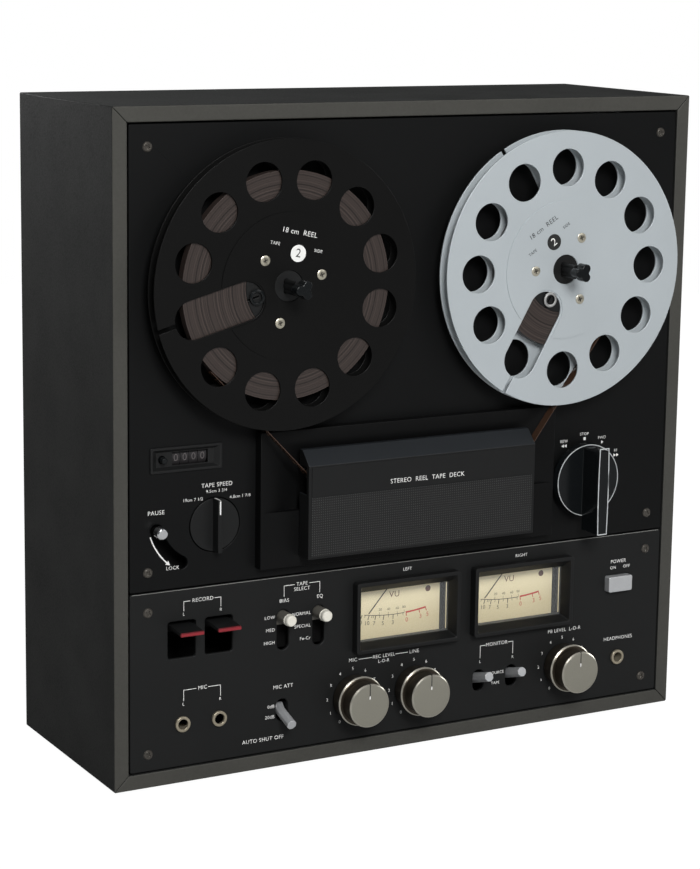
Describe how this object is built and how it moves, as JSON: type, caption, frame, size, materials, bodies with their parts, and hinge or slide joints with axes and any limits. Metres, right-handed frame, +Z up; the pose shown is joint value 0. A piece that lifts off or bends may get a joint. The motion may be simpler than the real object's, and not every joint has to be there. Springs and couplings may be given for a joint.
{
  "type": "reel to reel tape deck",
  "caption": "Upright open reel tape deck with two reels of threaded tape, head cover, level meters, rotary transport knob, level knobs and rear sockets in a boxed case.",
  "frame": {"origin": "middle of the overall box, on the surface under the feet", "axes": "-Y out of the front panel, +X to the right seen from the front, +Z up"},
  "size_m": [0.415, 0.196, 0.422],
  "materials": {
    "case_board": "dark textured vinyl over board, olive grey front edge",
    "panel_black": "satin black anodised sheet",
    "chassis_steel": "zinc plated",
    "black_plastic": "satin moulded black",
    "gloss_black": "polished black",
    "reel_silver": "satin clear anodised",
    "reel_black": "satin black anodised",
    "magnetic_tape": "smooth brown oxide film",
    "knob_silver": "turned and clear anodised",
    "knob_olive": "dark anodised, bright chamfer",
    "bright_metal": "polished",
    "lever_cream": "cream cap on a grey collar",
    "rubber_black": "matt",
    "clear_window": "clear",
    "board_green": "solder mask green",
    "motor_metal": "grey enamel"
  },
  "bodies": {
    "deck": {"wooden_case": "case_board", "chassis_frame": "chassis_steel", "deck_panel": "panel_black", "control_panel": "panel_black", "back_cover": "panel_black", "terminal_panel": "black_plastic", "rubber_feet": "rubber_black", "panel_screws": "chassis_steel", "tape_path_escutcheon": "black_plastic", "head_base": "chassis_steel", "tape_heads": "bright_metal", "tape_guides": "bright_metal", "threaded_tape": "magnetic_tape", "motor": "motor_metal", "drive_belt": "rubber_black", "counter_frame": "black_plastic", "counter_wheels": "black_plastic", "phone_jacks": "chassis_steel", "meter_cases": "black_plastic", "meter_windows": "clear_window", "circuit_board": "board_green", "transformer": "motor_metal"},
    "supply_reel": {"supply_front_flange": "reel_black", "supply_rear_flange": "reel_black", "supply_hub": "black_plastic", "supply_tape_pack": "magnetic_tape", "supply_turntable": "black_plastic"},
    "supply_lock": {"supply_reel_lock": "black_plastic"},
    "takeup_reel": {"takeup_front_flange": "reel_silver", "takeup_rear_flange": "reel_silver", "takeup_hub": "black_plastic", "takeup_tape_pack": "magnetic_tape", "takeup_turntable": "black_plastic"},
    "takeup_lock": {"takeup_reel_lock": "black_plastic"},
    "capstan": {"capstan_flywheel": "chassis_steel"},
    "motor_shaft": {"motor_pulley": "chassis_steel"},
    "pinch_lever": {"pinch_arm": "chassis_steel"},
    "pinch_wheel": {"pinch_roller": "rubber_black"},
    "cover": {"head_cover": "black_plastic"},
    "function_selector": {"function_knob": "gloss_black"},
    "speed_selector": {"speed_knob": "black_plastic"},
    "pause": {"pause_lever": "bright_metal"},
    "counter_units": {"counter_units_wheel": "black_plastic"},
    "counter_reset": {"counter_reset_button": "gloss_black"},
    "record_left": {"record_lever_left": "black_plastic"},
    "record_right": {"record_lever_right": "black_plastic"},
    "bias_switch": {"bias_lever": "lever_cream"},
    "eq_switch": {"eq_lever": "lever_cream"},
    "mic_attenuator": {"mic_attenuator_lever": "bright_metal"},
    "monitor_left": {"monitor_lever_left": "bright_metal"},
    "monitor_right": {"monitor_lever_right": "bright_metal"},
    "mic_outer": {"mic_level_outer_knob": "knob_olive"},
    "mic_inner": {"mic_level_inner_knob": "knob_silver"},
    "line_outer": {"line_level_outer_knob": "knob_olive"},
    "line_inner": {"line_level_inner_knob": "knob_silver"},
    "playback_outer": {"playback_level_outer_knob": "knob_olive"},
    "playback_inner": {"playback_level_inner_knob": "knob_silver"},
    "power_switch": {"power_button": "knob_silver"},
    "left_needle": {"left_meter_needle": "black_plastic"},
    "right_needle": {"right_meter_needle": "black_plastic"}
  },
  "joints": [
    {"name": "supply_reel_spin", "type": "hinge", "parent": "deck", "child": "supply_reel", "pos_m": [-0.1002, -0.058, 0.3134], "axis": [0, 1, 0], "continuous": true},
    {"name": "takeup_reel_spin", "type": "hinge", "parent": "deck", "child": "takeup_reel", "pos_m": [0.1002, -0.058, 0.3134], "axis": [0, 1, 0], "continuous": true},
    {"name": "supply_lock_turn", "type": "hinge", "parent": "supply_reel", "child": "supply_lock", "pos_m": [-0.1002, -0.094, 0.3134], "axis": [0, 1, 0], "range_deg": [0, 60]},
    {"name": "takeup_lock_turn", "type": "hinge", "parent": "takeup_reel", "child": "takeup_lock", "pos_m": [0.1002, -0.094, 0.3134], "axis": [0, 1, 0], "range_deg": [0, 60]},
    {"name": "capstan_spin", "type": "hinge", "parent": "deck", "child": "capstan", "pos_m": [0.044, -0.058, 0.19235], "axis": [0, 1, 0], "continuous": true},
    {"name": "motor_spin", "type": "hinge", "parent": "deck", "child": "motor_shaft", "pos_m": [-0.055, 0.008, 0.204], "axis": [0, 1, 0], "continuous": true},
    {"name": "pinch_swing", "type": "hinge", "parent": "deck", "child": "pinch_lever", "pos_m": [0.066, -0.058, 0.164], "axis": [0, 1, 0], "range_deg": [0, 4.2]},
    {"name": "pinch_roller_spin", "type": "hinge", "parent": "pinch_lever", "child": "pinch_wheel", "pos_m": [0.044, -0.071, 0.1776], "axis": [0, 1, 0], "continuous": true},
    {"name": "head_cover_pull", "type": "slide", "parent": "deck", "child": "cover", "axis": [0, -1, 0], "range_m": [0, 0.03]},
    {"name": "function_select", "type": "hinge", "parent": "deck", "child": "function_selector", "pos_m": [0.13, -0.058, 0.1698], "axis": [0, 1, 0], "range_deg": [-30, 60]},
    {"name": "speed_select", "type": "hinge", "parent": "deck", "child": "speed_selector", "pos_m": [-0.1402, -0.058, 0.166], "axis": [0, 1, 0], "range_deg": [-45, 45]},
    {"name": "pause_swing", "type": "hinge", "parent": "deck", "child": "pause", "pos_m": [-0.1454, -0.049, 0.1749], "axis": [0, 1, 0], "range_deg": [-45, 0]},
    {"name": "counter_units_turn", "type": "hinge", "parent": "deck", "child": "counter_units", "pos_m": [-0.1562, -0.0474, 0.2092], "axis": [1, 0, 0], "continuous": true},
    {"name": "counter_reset_press", "type": "slide", "parent": "deck", "child": "counter_reset", "axis": [0, 1, 0], "range_m": [0, 0.002], "stiffness_N_per_m": 80},
    {"name": "record_left_press", "type": "hinge", "parent": "deck", "child": "record_left", "pos_m": [-0.1622, -0.043, 0.101], "axis": [1, 0, 0], "range_deg": [0, 22]},
    {"name": "record_right_press", "type": "hinge", "parent": "deck", "child": "record_right", "pos_m": [-0.137, -0.043, 0.101], "axis": [1, 0, 0], "range_deg": [0, 22]},
    {"name": "bias_select", "type": "slide", "parent": "deck", "child": "bias_switch", "axis": [0, 0, -1], "range_m": [0, 0.016]},
    {"name": "eq_select", "type": "slide", "parent": "deck", "child": "eq_switch", "axis": [0, 0, -1], "range_m": [0, 0.016]},
    {"name": "mic_attenuator_rock", "type": "hinge", "parent": "deck", "child": "mic_attenuator", "pos_m": [-0.0926, -0.051, 0.0408], "axis": [1, 0, 0], "range_deg": [-34, 0]},
    {"name": "monitor_left_rock", "type": "hinge", "parent": "deck", "child": "monitor_left", "pos_m": [0.0532, -0.051, 0.04], "axis": [1, 0, 0], "range_deg": [0, 34]},
    {"name": "monitor_right_rock", "type": "hinge", "parent": "deck", "child": "monitor_right", "pos_m": [0.0787, -0.051, 0.04], "axis": [1, 0, 0], "range_deg": [0, 34]},
    {"name": "mic_outer_turn", "type": "hinge", "parent": "deck", "child": "mic_outer", "pos_m": [-0.0418, -0.064, 0.0425], "axis": [0, 1, 0], "range_deg": [-150, 150]},
    {"name": "mic_inner_turn", "type": "hinge", "parent": "deck", "child": "mic_inner", "pos_m": [-0.0418, -0.075, 0.0425], "axis": [0, 1, 0], "range_deg": [-150, 150]},
    {"name": "line_outer_turn", "type": "hinge", "parent": "deck", "child": "line_outer", "pos_m": [0.0036, -0.064, 0.0425], "axis": [0, 1, 0], "range_deg": [-150, 150]},
    {"name": "line_inner_turn", "type": "hinge", "parent": "deck", "child": "line_inner", "pos_m": [0.0036, -0.075, 0.0425], "axis": [0, 1, 0], "range_deg": [-150, 150]},
    {"name": "playback_outer_turn", "type": "hinge", "parent": "deck", "child": "playback_outer", "pos_m": [0.119, -0.064, 0.0425], "axis": [0, 1, 0], "range_deg": [-150, 150]},
    {"name": "playback_inner_turn", "type": "hinge", "parent": "deck", "child": "playback_inner", "pos_m": [0.119, -0.075, 0.0425], "axis": [0, 1, 0], "range_deg": [-150, 150]},
    {"name": "power_press", "type": "slide", "parent": "deck", "child": "power_switch", "axis": [0, 1, 0], "range_m": [0, 0.003], "stiffness_N_per_m": 150},
    {"name": "left_needle_swing", "type": "hinge", "parent": "deck", "child": "left_needle", "pos_m": [-0.0041, -0.049, 0.1182], "axis": [0, -1, 0], "range_deg": [0, 80], "stiffness_Nm_per_rad": 0.000005, "springref_deg": -28.65},
    {"name": "right_needle_swing", "type": "hinge", "parent": "deck", "child": "right_needle", "pos_m": [0.084, -0.049, 0.1182], "axis": [0, -1, 0], "range_deg": [0, 80], "stiffness_Nm_per_rad": 0.000005, "springref_deg": -28.65}
  ],
  "couplings": [
    {"joint": "motor_spin", "follows": "capstan_spin", "ratio": 7},
    {"joint": "counter_units_turn", "follows": "takeup_reel_spin", "ratio": 0.1}
  ]
}
